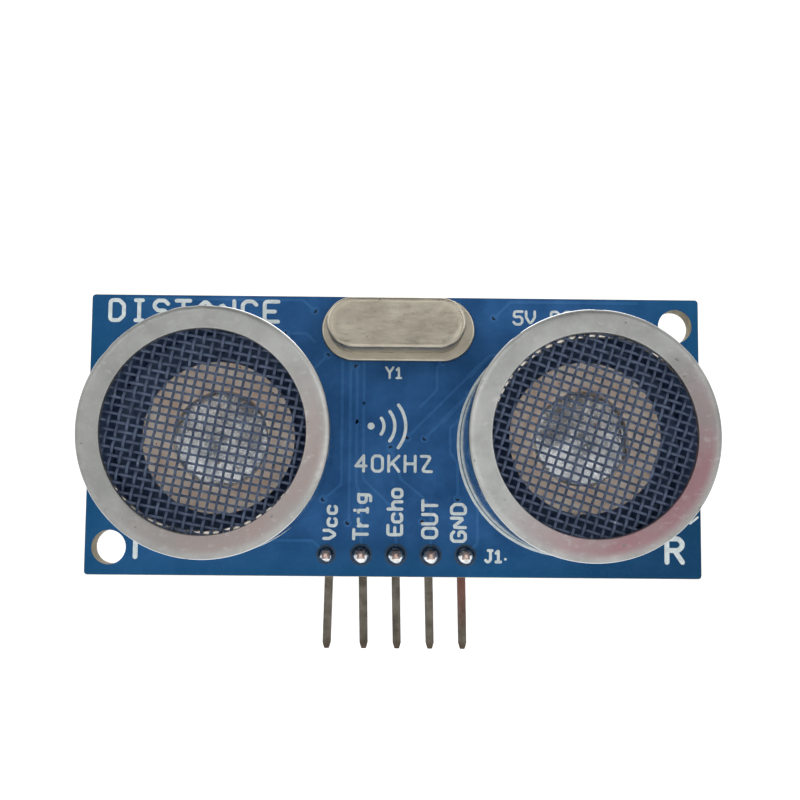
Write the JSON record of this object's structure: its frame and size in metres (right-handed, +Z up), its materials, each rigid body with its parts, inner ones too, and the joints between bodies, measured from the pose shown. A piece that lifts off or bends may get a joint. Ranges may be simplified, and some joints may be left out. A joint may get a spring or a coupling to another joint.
{
  "type": "ultrasonic distance sensor",
  "caption": "Small upright circuit board with a pair of round screened ultrasonic transducers, a crystal between them and a right-angle pin header at the lower edge.",
  "frame": {"origin": "middle of the board's front face, midway between the two fixing holes", "axes": "+X along the board to the right of someone facing the transducers, +Y from the transducers' side to the back of the board, +Z up, with the header's pins pointing to -Z"},
  "size_m": [0.045, 0.018, 0.0265],
  "materials": {
    "solder_mask": "glass-epoxy board under a glossy blue solder mask",
    "can_aluminium": "drawn aluminium, satin with fine scratches",
    "screen_wire": "woven steel wire, dark blue-grey",
    "ring_metal": "bright turned ring",
    "cone_foil": "thin spun aluminium, warm tint",
    "vibrator_brass": "rolled sheet",
    "piezo_ceramic": "fired, matte with a silvered face",
    "silicone": "soft white silicone",
    "black_plastic": "moulded black plastic",
    "tinned_metal": "tin plated",
    "copper_wire": "enamelled copper wire",
    "nickel_shell": "nickel plated, satin",
    "seal_glass": "fused glass bead",
    "spring_metal": "thin spring strip",
    "quartz": "polished quartz",
    "solder": "bright solder",
    "pin_metal": "dull tin-plated brass pin",
    "chip_plastic": "moulded epoxy",
    "resistor_face": "black glass coat on ceramic",
    "capacitor_ceramic": "tan ceramic"
  },
  "bodies": {
    "root": {"circuit_board": "solder_mask", "transmitter_can": "can_aluminium", "transmitter_screen": "screen_wire", "transmitter_screen_ring": "ring_metal", "transmitter_cone": "cone_foil", "transmitter_vibrator_plate": "vibrator_brass", "transmitter_piezo_disc": "piezo_ceramic", "transmitter_damping_ring": "silicone", "transmitter_base": "black_plastic", "transmitter_terminals": "tinned_metal", "transmitter_lead_wires": "copper_wire", "receiver_can": "can_aluminium", "receiver_screen": "screen_wire", "receiver_screen_ring": "ring_metal", "receiver_cone": "cone_foil", "receiver_vibrator_plate": "vibrator_brass", "receiver_piezo_disc": "piezo_ceramic", "receiver_damping_ring": "silicone", "receiver_base": "black_plastic", "receiver_terminals": "tinned_metal", "receiver_lead_wires": "copper_wire", "transducer_solder": "solder", "crystal_can": "nickel_shell", "crystal_base": "nickel_shell", "crystal_seals": "seal_glass", "crystal_leads": "tinned_metal", "crystal_holders": "spring_metal", "quartz_blank": "quartz", "crystal_solder": "solder", "header_strip": "black_plastic", "pin_supply": "pin_metal", "pin_trigger": "pin_metal", "pin_echo": "pin_metal", "pin_output": "pin_metal", "pin_ground": "pin_metal", "header_solder": "solder", "controller_body": "chip_plastic", "controller_leads": "tinned_metal", "amplifier_body": "chip_plastic", "amplifier_leads": "tinned_metal", "driver_body": "chip_plastic", "driver_leads": "tinned_metal", "transistor_body": "chip_plastic", "transistor_leads": "tinned_metal", "resistor_bodies": "resistor_face", "resistor_ends": "tinned_metal", "capacitor_bodies": "capacitor_ceramic", "capacitor_ends": "tinned_metal"}
  },
  "joints": []
}
